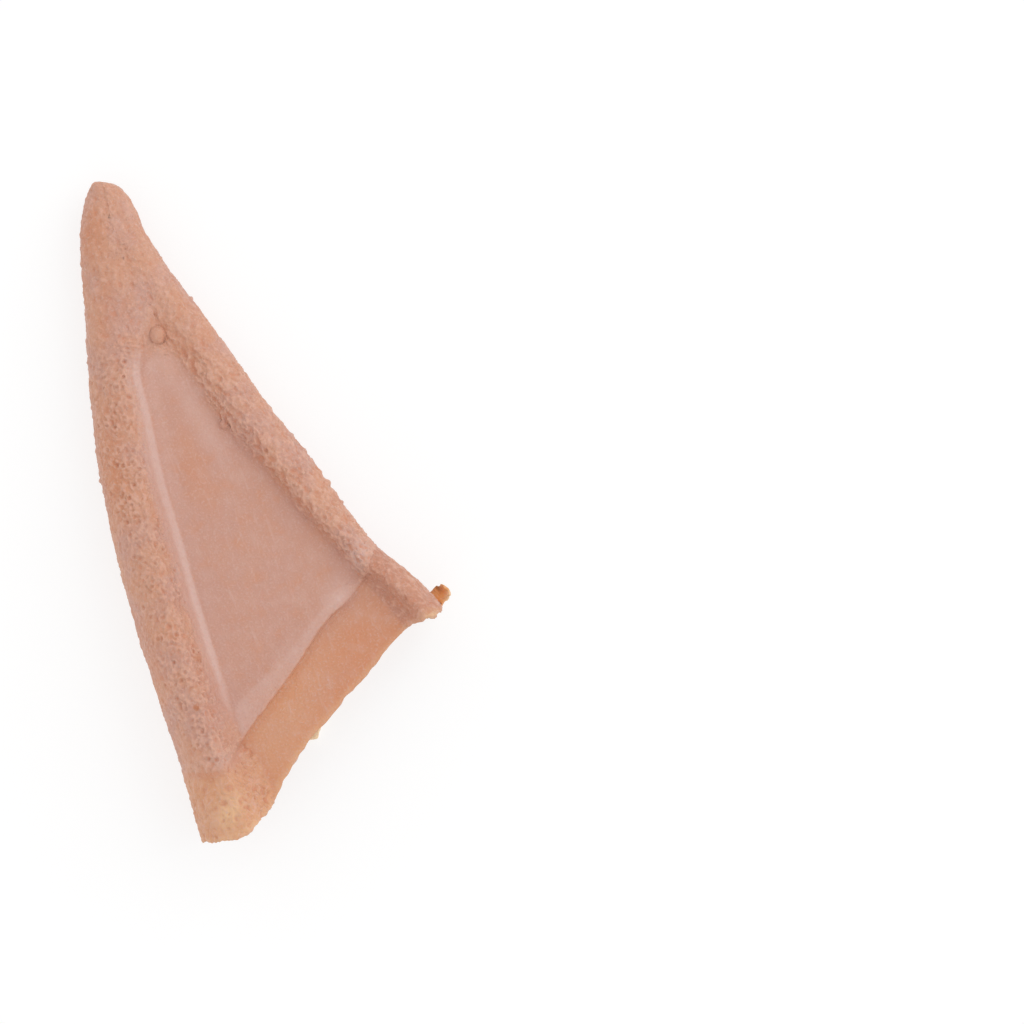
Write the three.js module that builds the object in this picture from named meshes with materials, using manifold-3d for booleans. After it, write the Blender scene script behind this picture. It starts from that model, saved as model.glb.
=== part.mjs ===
// A pointed costume ear of slip-cast latex, lying on its back.
// It is one hollow skin: a recessed triangular panel between two rolled rims in front, a plain back
// behind, a solid tip, and a base that is cut open so that the wearer's own ear goes in.
// Millimetres, +Z up. The tip points along +Y and the panel faces +Z. The origin is under the
// middle of the ear, on the surface that it lies on.
import * as THREE from "three";
import Module from "manifold-3d";

// Overall size
const EAR_LENGTH = 132.6; // from the tip to the lowest corner of the base, along Y
const EAR_WIDTH = 73.8; // from the left side to the right corner of the base, along X
const EAR_DEPTH = 22.4; // from the back to the crest of the left rim at the base

// Latex
const WALL = 1.6; // of the sculpted ear and of the back
const SKIRT_WALL = 1.0; // of the thin skirt in front, along the base
const SOLID_TIP = 11; // from the tip to the hollow
const HOLLOW_ROUNDING = 8; // length over which the hollow's blind end rounds off

// Relief of the front
const GROOVE_DEPTH = 0.8; // how far the panel falls towards the foot of the right rim
const RIDGE_HEIGHT = 0.8; // of the lip where the panel ends above the skirt
const RIDGE_WIDTH = 5.4;
const RIDGE_TOP = 3; // width of its level top, before the step
const RIDGE_ENDS = { left: 0.08, right: 0.16 }; // where its ends run out, as shares of the section
const STEP_RUN = 0.5; // length over which the lip drops to the skirt
const STEP_SWING = 6.4; // how far the step swings towards the base, over the left rim
const CUT_SWING = 4.8; // how far the scissor cut along the base swings out below the left rim

// A section's sides
const SIDE_SHARE = 0.42; // height of the widest point, from the back to the crest
const BACK_ROUNDING = 0.22; // width of the rounding between side and back, as a share of the section

// Sections from the tip to the base. Each runs from the left side to the right side, whose places are
// shares of the ear's width and length from its top left corner. bow is how much of the step's
// swing the section takes.
const OUTLINE = [
  { leftX: 0.065, leftY: 0.0, rightX: 0.065, rightY: 0.0, bow: 0 },
  { leftX: 0.036, leftY: 0.003, rightX: 0.094, rightY: 0.003, bow: 0 },
  { leftX: 0.026, leftY: 0.014, rightX: 0.121, rightY: 0.013, bow: 0 },
  { leftX: 0.009, leftY: 0.04, rightX: 0.15, rightY: 0.04, bow: 0 },
  { leftX: 0.001, leftY: 0.082, rightX: 0.187, rightY: 0.083, bow: 0 },
  { leftX: 0.003, leftY: 0.13, rightX: 0.241, rightY: 0.129, bow: 0 },
  { leftX: 0.011, leftY: 0.185, rightX: 0.306, rightY: 0.177, bow: 0 },
  { leftX: 0.018, leftY: 0.244, rightX: 0.36, rightY: 0.217, bow: 0 },
  { leftX: 0.027, leftY: 0.309, rightX: 0.415, rightY: 0.258, bow: 0 },
  { leftX: 0.038, leftY: 0.37, rightX: 0.472, rightY: 0.305, bow: 0 },
  { leftX: 0.054, leftY: 0.441, rightX: 0.534, rightY: 0.352, bow: 0 },
  { leftX: 0.079, leftY: 0.509, rightX: 0.599, rightY: 0.395, bow: 0 },
  { leftX: 0.106, leftY: 0.577, rightX: 0.656, rightY: 0.438, bow: 0 },
  { leftX: 0.144, leftY: 0.653, rightX: 0.71, rightY: 0.48, bow: 0 },
  { leftX: 0.187, leftY: 0.733, rightX: 0.745, rightY: 0.506, bow: 0.05 },
  { leftX: 0.233, leftY: 0.811, rightX: 0.772, rightY: 0.526, bow: 0.4 },
  { leftX: 0.279, leftY: 0.892, rightX: 0.802, rightY: 0.547, bow: 1 },
  { leftX: 0.308, leftY: 0.948, rightX: 0.902, rightY: 0.592, bow: 0.6 },
  { leftX: 0.338, leftY: 1.0, rightX: 1.0, rightY: 0.645, bow: 0 },
];
const BASE_STATION = OUTLINE.length - 1;
const STEP_STATION = BASE_STATION - 2; // the section at which the panel's lip ends

// Where the same sections' rims and panel lie, as shares of the section's width from its left side.
// Each rim rises to its crest and falls to its foot, and the panel lies between the feet.
const ACROSS = [
  { leftCrest: 0.45, leftFoot: 0.49, rightFoot: 0.52, rightCrest: 0.56 },
  { leftCrest: 0.45, leftFoot: 0.49, rightFoot: 0.52, rightCrest: 0.56 },
  { leftCrest: 0.45, leftFoot: 0.49, rightFoot: 0.52, rightCrest: 0.56 },
  { leftCrest: 0.44, leftFoot: 0.5, rightFoot: 0.54, rightCrest: 0.6 },
  { leftCrest: 0.43, leftFoot: 0.53, rightFoot: 0.57, rightCrest: 0.63 },
  { leftCrest: 0.41, leftFoot: 0.57, rightFoot: 0.61, rightCrest: 0.69 },
  { leftCrest: 0.35, leftFoot: 0.58, rightFoot: 0.63, rightCrest: 0.77 },
  { leftCrest: 0.28, leftFoot: 0.55, rightFoot: 0.61, rightCrest: 0.82 },
  { leftCrest: 0.24, leftFoot: 0.5, rightFoot: 0.63, rightCrest: 0.83 },
  { leftCrest: 0.225, leftFoot: 0.455, rightFoot: 0.665, rightCrest: 0.84 },
  { leftCrest: 0.21, leftFoot: 0.41, rightFoot: 0.705, rightCrest: 0.86 },
  { leftCrest: 0.195, leftFoot: 0.36, rightFoot: 0.735, rightCrest: 0.87 },
  { leftCrest: 0.18, leftFoot: 0.325, rightFoot: 0.775, rightCrest: 0.89 },
  { leftCrest: 0.165, leftFoot: 0.3, rightFoot: 0.815, rightCrest: 0.91 },
  { leftCrest: 0.155, leftFoot: 0.285, rightFoot: 0.845, rightCrest: 0.925 },
  { leftCrest: 0.14, leftFoot: 0.265, rightFoot: 0.865, rightCrest: 0.935 },
  { leftCrest: 0.115, leftFoot: 0.22, rightFoot: 0.875, rightCrest: 0.94 },
  { leftCrest: 0.125, leftFoot: 0.25, rightFoot: 0.88, rightCrest: 0.945 },
  { leftCrest: 0.12, leftFoot: 0.25, rightFoot: 0.866, rightCrest: 0.945 },
];

// How high they are, as shares of the ear's depth. The tip's rounding lifts its back off the surface.
const HEIGHTS = [
  { leftRim: 0.27, rightRim: 0.27, panel: 0.27, back: 0.27 },
  { leftRim: 0.345, rightRim: 0.345, panel: 0.345, back: 0.19 },
  { leftRim: 0.39, rightRim: 0.39, panel: 0.39, back: 0.13 },
  { leftRim: 0.435, rightRim: 0.435, panel: 0.435, back: 0.08 },
  { leftRim: 0.48, rightRim: 0.475, panel: 0.475, back: 0.045 },
  { leftRim: 0.515, rightRim: 0.5, panel: 0.502, back: 0.022 },
  { leftRim: 0.545, rightRim: 0.51, panel: 0.5, back: 0.008 },
  { leftRim: 0.575, rightRim: 0.53, panel: 0.5, back: 0 },
  { leftRim: 0.61, rightRim: 0.55, panel: 0.495, back: 0 },
  { leftRim: 0.65, rightRim: 0.575, panel: 0.485, back: 0 },
  { leftRim: 0.69, rightRim: 0.6, panel: 0.485, back: 0 },
  { leftRim: 0.73, rightRim: 0.625, panel: 0.495, back: 0 },
  { leftRim: 0.77, rightRim: 0.65, panel: 0.51, back: 0 },
  { leftRim: 0.81, rightRim: 0.675, panel: 0.53, back: 0 },
  { leftRim: 0.85, rightRim: 0.7, panel: 0.555, back: 0 },
  { leftRim: 0.89, rightRim: 0.725, panel: 0.58, back: 0 },
  { leftRim: 0.93, rightRim: 0.75, panel: 0.605, back: 0 },
  { leftRim: 0.97, rightRim: 0.78, panel: 0.635, back: 0 },
  { leftRim: 1, rightRim: 0.82, panel: 0.67, back: 0 },
];

// How far the step swings out from its section, as shares of its swing, against shares of the
// section's width from its left side.
const STEP_LINE = [
  { across: 0, out: 0.1 },
  { across: 0.1, out: 1 },
  { across: 0.235, out: 0.8 },
  { across: 0.33, out: 0.74 },
  { across: 0.54, out: 0.62 },
  { across: 0.69, out: 0.42 },
  { across: 0.85, out: 0.54 },
  { across: 1, out: 0.1 },
];

// The same for the cut along the base, out from the straight line between the base's corners.
const FRONT_CUT = [
  { across: 0, out: 0 },
  { across: 0.055, out: 0.72 },
  { across: 0.18, out: 1 },
  { across: 0.25, out: 0.8 },
  { across: 0.3, out: 0.45 },
  { across: 0.4, out: 0.09 },
  { across: 0.57, out: -0.2 },
  { across: 0.75, out: -0.37 },
  { across: 0.875, out: -0.56 },
  { across: 0.92, out: -0.25 },
  { across: 1, out: 0 },
];
const BACK_CUT = [
  { across: 0, out: 0 },
  { across: 0.1, out: 0.35 },
  { across: 0.2, out: 0.5 },
  { across: 0.3, out: 0.15 },
  { across: 0.41, out: -0.2 },
  { across: 0.453, out: 0.2 },
  { across: 0.5, out: -0.25 },
  { across: 0.6, out: -0.36 },
  { across: 0.75, out: -0.5 },
  { across: 0.875, out: -0.7 },
  { across: 0.95, out: -0.3 },
  { across: 1, out: 0 },
];

// Warts on the front: station counts sections from the tip, across is a share of the section's width.
const WARTS = [
  { station: 7.1, across: 0.575, radius: 1.6, height: 1.0 },
  { station: 9.85, across: 0.733, radius: 1.0, height: 0.6 },
];

// A strip at the back that curls forward beside the base's right corner. It leaves the right side at
// its station and at its share of the way from the widest point down to the back.
const CURL = { length: 3.6, run: 2, bend: 3.2, thickness: 1, station: 17.8, down: 0.35 };

// Facets
const LOOP_FACETS = {
  leftFront: 6,
  leftSlope: 7,
  panel: 9,
  rightSlope: 6,
  rightFront: 5,
  rightBack: 4,
  land: 12,
  leftBack: 4,
};
const ROWS = { sculpt: 26, ridge: 3, step: 1, skirt: 5, hollowEnd: 4, hollow: 22 };
const TIP_CROWDING = 1.3; // above 1, the rows crowd towards the tip
const WART_SEGMENTS = { around: 12, down: 8 };
const CURL_FACETS = 6;
const CURL_STEP = 0.1; // sections apart, to find the rim's direction at the curl
const TOLERANCE = 1e-6;
const MERGED_DIGITS = 4; // of a corner's millimetres, by which corners are merged

const LATEX = new THREE.MeshStandardMaterial({ color: 0xcc9680, roughness: 0.62, metalness: 0 });

const { lerp: mix, clamp, smoothstep } = THREE.MathUtils;
const ease = (share) => (1 - Math.cos(Math.PI * share)) / 2;
const quarterUp = (share) => Math.sin((Math.PI / 2) * share);
const quarterAcross = (share) => 1 - Math.cos((Math.PI / 2) * share);

// The place between two others at which a growing quantity passes what it is compared with.
function crossing(low, high, isBefore) {
  while (high - low > TOLERANCE) {
    const middle = (low + high) / 2;
    if (isBefore(middle)) low = middle;
    else high = middle;
  }
  return (low + high) / 2;
}

// A smooth curve through every column of a table, read at any place along its rows.
function curvesThrough(rows, places) {
  const names = Object.keys(rows[0]);
  const values = rows.flatMap((row) => names.map((name) => row[name]));
  const curves = new THREE.CubicInterpolant(places, values, names.length);
  return (place) => {
    const sample = curves.evaluate(place);
    return Object.fromEntries(names.map((name, column) => [name, sample[column]]));
  };
}

const stations = OUTLINE.map((row, index) => index);
const outlineAt = curvesThrough(OUTLINE, stations);
const acrossAt = curvesThrough(ACROSS, stations);
const heightShareAt = curvesThrough(HEIGHTS, stations);
const swingCurve = (table, distance) => {
  const read = curvesThrough(table, table.map((row) => row.across));
  return (across) => read(across).out * distance;
};
const stepLine = swingCurve(STEP_LINE, STEP_SWING);
const frontCut = swingCurve(FRONT_CUT, CUT_SWING);
const backCut = swingCurve(BACK_CUT, CUT_SWING);

// Where a section lies in plan: its left end, its direction and its width.
function placeOf(station) {
  const { leftX, leftY, rightX, rightY, bow } = outlineAt(station);
  const left = new THREE.Vector2(leftX * EAR_WIDTH, -leftY * EAR_LENGTH);
  const right = new THREE.Vector2(rightX * EAR_WIDTH, -rightY * EAR_LENGTH);
  const along = right.clone().sub(left);
  return { left, right, bow, along: along.clone().normalize(), width: along.length() };
}

const base = placeOf(BASE_STATION);
const outOfBase = new THREE.Vector2(base.along.y, -base.along.x); // points out of the open base
const tip = placeOf(0).left;

// How far the middle of a section is from the tip, and the section that is a given distance away.
function reachOf(station) {
  const { left, right } = placeOf(station);
  return left.clone().add(right).multiplyScalar(0.5).distanceTo(tip);
}

const stationAt = (distance) => crossing(0, BASE_STATION, (station) => reachOf(station) < distance);

const ridgeStart = stationAt(reachOf(STEP_STATION) - RIDGE_WIDTH);
const ridgeTop = stationAt(reachOf(STEP_STATION) - RIDGE_TOP);
const stepEnd = stationAt(reachOf(STEP_STATION) + STEP_RUN);
const hollowStart = stationAt(SOLID_TIP);
const hollowFull = stationAt(SOLID_TIP + HOLLOW_ROUNDING);

// Heights of a section's parts. The groove is the panel's low edge, where the right rim is high enough.
function heightsAt(station) {
  const shares = heightShareAt(station);
  const back = Math.max(shares.back, 0) * EAR_DEPTH;
  const leftRim = shares.leftRim * EAR_DEPTH;
  const rightRim = shares.rightRim * EAR_DEPTH;
  const panel = shares.panel * EAR_DEPTH;
  const groove = panel - GROOVE_DEPTH * clamp((rightRim - panel) / GROOVE_DEPTH, 0, 1);
  const side = mix(back, leftRim, SIDE_SHARE);
  return { back, leftRim, rightRim, panel, groove, side };
}

// The stretches of a section's loop. For a share of its length each gives a place across, a height,
// and how far it belongs to the front. The loop starts at the left side and goes over the front to
// the right side and back underneath.
function stretchesAt(station) {
  const { leftCrest, leftFoot, rightFoot, rightCrest } = acrossAt(station);
  const { back, leftRim, rightRim, panel, groove, side } = heightsAt(station);
  const leftRound = (edge, top, u) => [edge * quarterAcross(u), mix(side, top, quarterUp(u))];
  const rightRound = (edge, top, u) => [mix(1, edge, quarterAcross(u)), mix(side, top, quarterUp(u))];
  const rightLand = 1 - BACK_ROUNDING;
  return {
    leftFront: (u) => [...leftRound(leftCrest, leftRim, u), ease(u)],
    leftSlope: (u) => [mix(leftCrest, leftFoot, u), mix(leftRim, panel, ease(u)), 1],
    panel: (u) => [mix(leftFoot, rightFoot, u), mix(panel, groove, ease(u)), 1],
    rightSlope: (u) => [mix(rightFoot, rightCrest, u), mix(groove, rightRim, ease(u)), 1],
    rightFront: (u) => [...rightRound(rightCrest, rightRim, 1 - u), ease(1 - u)],
    rightBack: (u) => [...rightRound(rightLand, back, u), 0],
    land: (u) => [mix(rightLand, BACK_ROUNDING, u), back, 0],
    leftBack: (u) => [...leftRound(BACK_ROUNDING, back, 1 - u), 0],
  };
}

// A section's loop of points in its own plane, with the direction out of the latex at each of them.
function loopAt(station) {
  const { width } = placeOf(station);
  const points = Object.entries(stretchesAt(station)).flatMap(([name, at]) =>
    Array.from({ length: LOOP_FACETS[name] }, (_, facet) => {
      const [across, height, front] = at(facet / LOOP_FACETS[name]);
      return { across, front, x: across * width, z: height };
    }),
  );
  points.forEach((point, index) => {
    const before = points.at(index - 1);
    const after = points[(index + 1) % points.length];
    const direction = new THREE.Vector2(after.x - before.x, after.z - before.z).normalize();
    point.out = new THREE.Vector2(-direction.y, direction.x);
  });
  return points;
}

// How far the latex stands proud of the plain section: the lip above the skirt, and the thin skirt.
function proud(station, point) {
  const { leftFoot, rightFoot } = acrossAt(station);
  const dropped = smoothstep(station, STEP_STATION, stepEnd);
  const raised = smoothstep(station, ridgeStart, ridgeTop) - dropped;
  const fromLeftRim = smoothstep(point.across, leftFoot - RIDGE_ENDS.left, leftFoot);
  const fromRightRim = smoothstep(rightFoot - point.across, 0, RIDGE_ENDS.right);
  const lip = RIDGE_HEIGHT * raised * fromLeftRim * fromRightRim;
  return point.front * (lip - (WALL - SKIRT_WALL) * dropped);
}

// Where a place across a section lies in plan, swung out with the step and with the cut.
function planOf(station, across, front) {
  const { left, along, width, bow } = placeOf(station);
  const nearCut = smoothstep(station, STEP_STATION, BASE_STATION);
  const cut = mix(backCut(across), frontCut(across), front) * nearCut;
  return left
    .clone()
    .addScaledVector(along, across * width)
    .addScaledVector(outOfBase, cut + bow * stepLine(across));
}

// A ring of points in space: the section's loop moved out of the latex by a distance at each point.
function ringAt(station, offset) {
  const { along } = placeOf(station);
  return loopAt(station).map((point) => {
    const distance = offset(point);
    const plan = planOf(station, point.across, point.front);
    plan.addScaledVector(along, point.out.x * distance);
    return new THREE.Vector3(plan.x, plan.y, point.z + point.out.y * distance);
  });
}

const outerRing = (station) => ringAt(station, (point) => proud(station, point));
const hollowRing = (station) => ringAt(station, () => -WALL);

function middleOf(ring) {
  return ring.reduce((sum, point) => sum.add(point), new THREE.Vector3()).divideScalar(ring.length);
}

// Rows of stations from one section to another, without the first.
function rows(from, to, count, crowding = 1) {
  return Array.from({ length: count }, (_, index) => mix(from, to, ((index + 1) / count) ** crowding));
}

// The rings of the outside, from the tip, then those of the hollow, back from the base to its end.
function skinRings() {
  const outside = [
    ...rows(0, ridgeStart, ROWS.sculpt, TIP_CROWDING),
    ...rows(ridgeStart, STEP_STATION, ROWS.ridge),
    ...rows(STEP_STATION, stepEnd, ROWS.step),
    ...rows(stepEnd, BASE_STATION, ROWS.skirt),
  ].map(outerRing);
  const inside = rows(hollowFull, BASE_STATION, ROWS.hollow).map(hollowRing).reverse();
  const rounded = Array.from({ length: ROWS.hollowEnd }, (_, index) => {
    const share = 1 - index / ROWS.hollowEnd;
    const ring = hollowRing(mix(hollowStart, hollowFull, share));
    const middle = middleOf(ring);
    return ring.map((point) => point.lerp(middle, 1 - Math.sqrt(1 - (1 - share) ** 2)));
  });
  return [...outside, ...inside, ...rounded];
}

// One closed skin through all the rings, with a point at each end.
function closedSkin(rings, firstPoint, lastPoint) {
  const around = rings[0].length;
  const vertices = [firstPoint, ...rings.flat(), lastPoint];
  const last = vertices.length - 1;
  const vertexOf = (ring, index) => 1 + ring * around + (index % around);
  const faces = [];
  for (let index = 0; index < around; index += 1) {
    faces.push([0, vertexOf(0, index), vertexOf(0, index + 1)]);
    for (let ring = 0; ring < rings.length - 1; ring += 1) {
      const [a, b] = [vertexOf(ring, index), vertexOf(ring, index + 1)];
      const [c, d] = [vertexOf(ring + 1, index + 1), vertexOf(ring + 1, index)];
      faces.push([a, c, b], [a, d, c]);
    }
    faces.push([last, vertexOf(rings.length - 1, index + 1), vertexOf(rings.length - 1, index)]);
  }
  return new THREE.BufferGeometry()
    .setAttribute("position", new THREE.Float32BufferAttribute(vertices.flatMap((v) => v.toArray()), 3))
    .setIndex(faces.flat());
}

function earSkin() {
  const tipPoint = new THREE.Vector3(tip.x, tip.y, heightsAt(0).panel);
  const hollowEnd = middleOf(hollowRing(hollowStart));
  return closedSkin(skinRings(), tipPoint, hollowEnd);
}

// The point of the front at a station and a share of the section's width.
function frontPoint(station, across) {
  const { leftFront, leftSlope, panel, rightSlope, rightFront } = stretchesAt(station);
  const stretches = [leftFront, leftSlope, panel, rightSlope, rightFront];
  const stretch = stretches.find((each) => each(1)[0] >= across);
  const u = crossing(0, 1, (share) => stretch(share)[0] < across);
  const plan = planOf(station, across, 1);
  return new THREE.Vector3(plan.x, plan.y, stretch(u)[1]);
}

function wartShape({ station, across, radius, height }) {
  const wart = new THREE.SphereGeometry(radius, WART_SEGMENTS.around, WART_SEGMENTS.down);
  wart.rotateX(Math.PI / 2);
  wart.scale(1, 1, height / radius);
  const at = frontPoint(station, across);
  return wart.translate(at.x, at.y, at.z);
}

// The curl, drawn in the plane across the rim and as long as it is along the rim. Its root lies in
// the wall.
function curlShape() {
  const { length, run, bend, thickness, station, down } = CURL;
  const strip = new THREE.Shape();
  strip.moveTo(-WALL, 0);
  strip.lineTo(run, 0);
  strip.absarc(run, bend, bend, -Math.PI / 2, 0, false);
  strip.lineTo(run + bend - thickness, bend);
  strip.absarc(run, bend, bend - thickness, 0, -Math.PI / 2, true);
  strip.lineTo(-WALL, thickness);
  const settings = { depth: length, bevelEnabled: false, curveSegments: CURL_FACETS };
  const curl = new THREE.ExtrudeGeometry(strip, settings);

  const [across, height] = stretchesAt(station).rightBack(down);
  const start = planOf(station, across, 0);
  const baseward = start.clone().sub(planOf(station - CURL_STEP, across, 0)).normalize();
  const sideways = new THREE.Vector3(-baseward.y, baseward.x, 0);
  const alongRim = new THREE.Vector3(baseward.x, baseward.y, 0);
  const axes = new THREE.Matrix4().makeBasis(sideways, new THREE.Vector3(0, 0, 1), alongRim);
  axes.setPosition(start.x - (baseward.x * length) / 2, start.y - (baseward.y * length) / 2, height);
  return curl.applyMatrix4(axes);
}

const wasm = await Module();
wasm.setup();

// A closed geometry as a manifold solid, whose shared vertices are merged.
function solidOf(geometry) {
  const found = new Map();
  const vertProperties = [];
  const { position } = geometry.attributes;
  const order = geometry.index?.array ?? Array.from({ length: position.count }, (_, corner) => corner);
  const corners = Array.from(order, (corner) => {
    const point = new THREE.Vector3().fromBufferAttribute(position, corner);
    const key = point.toArray().map((length) => length.toFixed(MERGED_DIGITS)).join();
    if (!found.has(key)) {
      found.set(key, found.size);
      vertProperties.push(...point.toArray());
    }
    return found.get(key);
  });
  const triVerts = [];
  for (let i = 0; i < corners.length; i += 3) {
    const [a, b, c] = corners.slice(i, i + 3);
    if (a !== b && b !== c && c !== a) triVerts.push(a, b, c);
  }
  return new wasm.Manifold(
    new wasm.Mesh({
      numProp: 3,
      vertProperties: new Float32Array(vertProperties),
      triVerts: new Uint32Array(triVerts),
    }),
  );
}

function geometryOf(solid) {
  const { vertProperties, triVerts } = solid.getMesh();
  return new THREE.BufferGeometry()
    .setAttribute("position", new THREE.BufferAttribute(vertProperties, 3))
    .setIndex(new THREE.BufferAttribute(triVerts, 1));
}

const shapes = [earSkin(), ...WARTS.map(wartShape), curlShape()];
const ear = geometryOf(shapes.map(solidOf).reduce((whole, piece) => whole.add(piece)));

// The origin is under the middle of the ear, on the surface that its back lies on.
ear.computeBoundingBox();
const centre = ear.boundingBox.getCenter(new THREE.Vector3());
ear.translate(-centre.x, -centre.y, -ear.boundingBox.min.z);
ear.computeVertexNormals();

const group = new THREE.Group();
const mesh = new THREE.Mesh(ear, LATEX);
mesh.name = "latex_ear";
group.add(mesh);

export default group;
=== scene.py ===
# %% [markdown]
# # A pointed costume ear of latex, lying on a table
#
# The real ear is one thin skin. Liquid latex is poured into a plaster mould, a layer sets on its wall
# and the rest is poured out, which leaves a hollow ear with each wrinkle of the mould on it. The base
# is cut open with scissors, so that it slips over the wearer's own ear. This lesson starts from the
# plain packed ear, gives it a dense mesh, works the wrinkles, pits and warts into that mesh, and then
# paints and lights it.

import math
from contextlib import contextmanager

import bpy
import numpy as np
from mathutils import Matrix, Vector, noise
from mathutils.bvhtree import BVHTree


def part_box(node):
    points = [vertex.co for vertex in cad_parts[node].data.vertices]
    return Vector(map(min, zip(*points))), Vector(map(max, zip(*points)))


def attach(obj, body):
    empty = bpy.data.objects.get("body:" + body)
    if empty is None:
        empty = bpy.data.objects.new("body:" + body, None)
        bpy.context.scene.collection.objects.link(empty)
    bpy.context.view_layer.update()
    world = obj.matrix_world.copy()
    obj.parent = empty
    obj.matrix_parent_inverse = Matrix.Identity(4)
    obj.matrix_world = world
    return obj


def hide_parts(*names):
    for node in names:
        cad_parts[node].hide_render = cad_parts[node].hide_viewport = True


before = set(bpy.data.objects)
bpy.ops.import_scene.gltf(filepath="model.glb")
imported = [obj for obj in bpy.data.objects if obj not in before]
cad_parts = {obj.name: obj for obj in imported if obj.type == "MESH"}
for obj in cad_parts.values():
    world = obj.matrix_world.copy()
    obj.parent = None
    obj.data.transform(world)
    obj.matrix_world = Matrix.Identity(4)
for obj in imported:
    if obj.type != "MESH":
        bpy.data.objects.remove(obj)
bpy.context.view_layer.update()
MM = 0.001

# %% [markdown]
# ## Places on the ear
#
# Every feature of the skin has its place in plan, seen from straight above, as the photograph sees the
# ear. A place could be a length in millimetres, but then each would be wrong once the ear changed size.
# So a place is a share of the ear's width, from the left, and a share of its length, from the base up.

# %% Shares of the ear's box
LOW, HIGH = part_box("latex_ear")


def place(across, up):
    """A point in plan, in millimetres, from its shares of the ear's width and length."""
    return np.array([LOW.x + across * (HIGH.x - LOW.x), LOW.y + up * (HIGH.y - LOW.y)]) / MM


def line(*shares):
    """A line in plan through points given by their shares, with its corners cut twice to round it."""
    points = [place(*pair) for pair in shares]
    for _ in range(2):
        cut = [points[0]]
        for a, b in zip(points, points[1:]):
            cut += [a * 0.75 + b * 0.25, a * 0.25 + b * 0.75]
        points = cut + [points[-1]]
    return np.array(points)


EAR_WIDTH, EAR_LENGTH = (place(1, 1) - place(0, 0)).tolist()
print("ear, millimetres:", round(EAR_WIDTH, 1), "wide,", round(EAR_LENGTH, 1), "long")

# %% [markdown]
# ## The camera
#
# The photograph looks straight down on the ear, which fills the left half of the picture. A short lens
# would spread the high rim outwards, so a long lens from further away keeps every feature over its
# place. The picture's side is worked out from the ear's length in it, and so is the camera's height.

# %% Set up the camera
PICTURE_SIDE = 1024
EAR_LENGTH_IN_PICTURE = 663
EAR_CENTRE_IN_PICTURE = (265.75, 512)
LENS = 200
SENSOR = 36
FARTHEST_SEEN = 20

pixel = EAR_LENGTH * MM / EAR_LENGTH_IN_PICTURE
view_width = PICTURE_SIDE * pixel
eye = (LOW + HIGH) / 2
eye.x += (PICTURE_SIDE / 2 - EAR_CENTRE_IN_PICTURE[0]) * pixel
eye.y -= (PICTURE_SIDE / 2 - EAR_CENTRE_IN_PICTURE[1]) * pixel
eye.z += view_width * LENS / SENSOR

scene = bpy.context.scene
bpy.ops.object.camera_add(location=eye, rotation=(0, 0, 0))
camera = bpy.context.object
camera.name = "camera"
camera.data.lens = LENS
camera.data.sensor_width = SENSOR
camera.data.clip_end = FARTHEST_SEEN
scene.camera = camera
print("camera", round(eye.z, 3), "m up, seeing", round(view_width / MM, 1), "mm")

# %% [markdown]
# ## The mesh of the skin
#
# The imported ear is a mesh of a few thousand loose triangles, far too coarse for wrinkles. Remeshing it
# with voxels would blunt the thin cut edge and the crisp step across the front. Subdivision keeps both:
# the triangles are merged and paired into four-sided faces, the sharp edges are creased, and each face
# is then divided smoothly. The long edges of the front are cut first, so that its faces come out about
# as long as wide.

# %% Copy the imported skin
MERGE_DISTANCE = 1e-6
SHARP_ANGLE = math.radians(50)

ear = bpy.data.objects.new("ear_skin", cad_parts["latex_ear"].data.copy())
scene.collection.objects.link(ear)
ear.data.materials.clear()


@contextmanager
def editing(piece, kind):
    """Opens a piece in edit mode, where its vertices, edges or faces are picked, and closes it again."""
    bpy.ops.object.select_all(action="DESELECT")
    piece.select_set(True)
    bpy.context.view_layer.objects.active = piece
    bpy.context.tool_settings.mesh_select_mode = [kind == k for k in ("VERT", "EDGE", "FACE")]
    bpy.ops.object.mode_set(mode="EDIT")
    yield
    bpy.ops.object.mode_set(mode="OBJECT")


with editing(ear, "VERT"):
    bpy.ops.mesh.select_all(action="SELECT")
    bpy.ops.mesh.remove_doubles(threshold=MERGE_DISTANCE)
    bpy.ops.mesh.tris_convert_to_quads(face_threshold=SHARP_ANGLE, shape_threshold=SHARP_ANGLE)
print("merged and paired:", len(ear.data.vertices), "points,", len(ear.data.polygons), "faces")

# %% Arrays of a mesh
def array_of(items, name, width):
    """One property of all of a mesh's points, edges or faces, as an array with one row for each."""
    values = np.zeros(len(items) * width)
    items.foreach_get(name, values)
    return values.reshape(-1, width)


def pick(piece, kind, wanted):
    """Selects the wanted edges or faces of a piece, and nothing else."""
    mesh = piece.data
    for items in (mesh.vertices, mesh.edges, mesh.polygons):
        items.foreach_set("select", np.zeros(len(items), bool))
    {"EDGE": mesh.edges, "FACE": mesh.polygons}[kind].foreach_set("select", wanted)


def edges_of(piece):
    """For every edge: its two points, their places in millimetres, and its length."""
    ends = array_of(piece.data.edges, "vertices", 2).astype(int)
    places = array_of(piece.data.vertices, "co", 3)[ends] / MM
    return ends, places, np.linalg.norm(places[:, 0] - places[:, 1], axis=1)


def points_of(piece, wanted):
    """Which points belong to at least one of the wanted faces."""
    found = np.zeros(len(piece.data.vertices), bool)
    for face in np.flatnonzero(wanted).tolist():
        found[list(piece.data.polygons[face].vertices)] = True
    return found


# %% Tell the outer skin and the front
UP = np.array([0, 0, 1.0])
BENT_UP = 0.6
RAY_START = 0.02 * MM
FRONT_SLANT = -0.3


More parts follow.
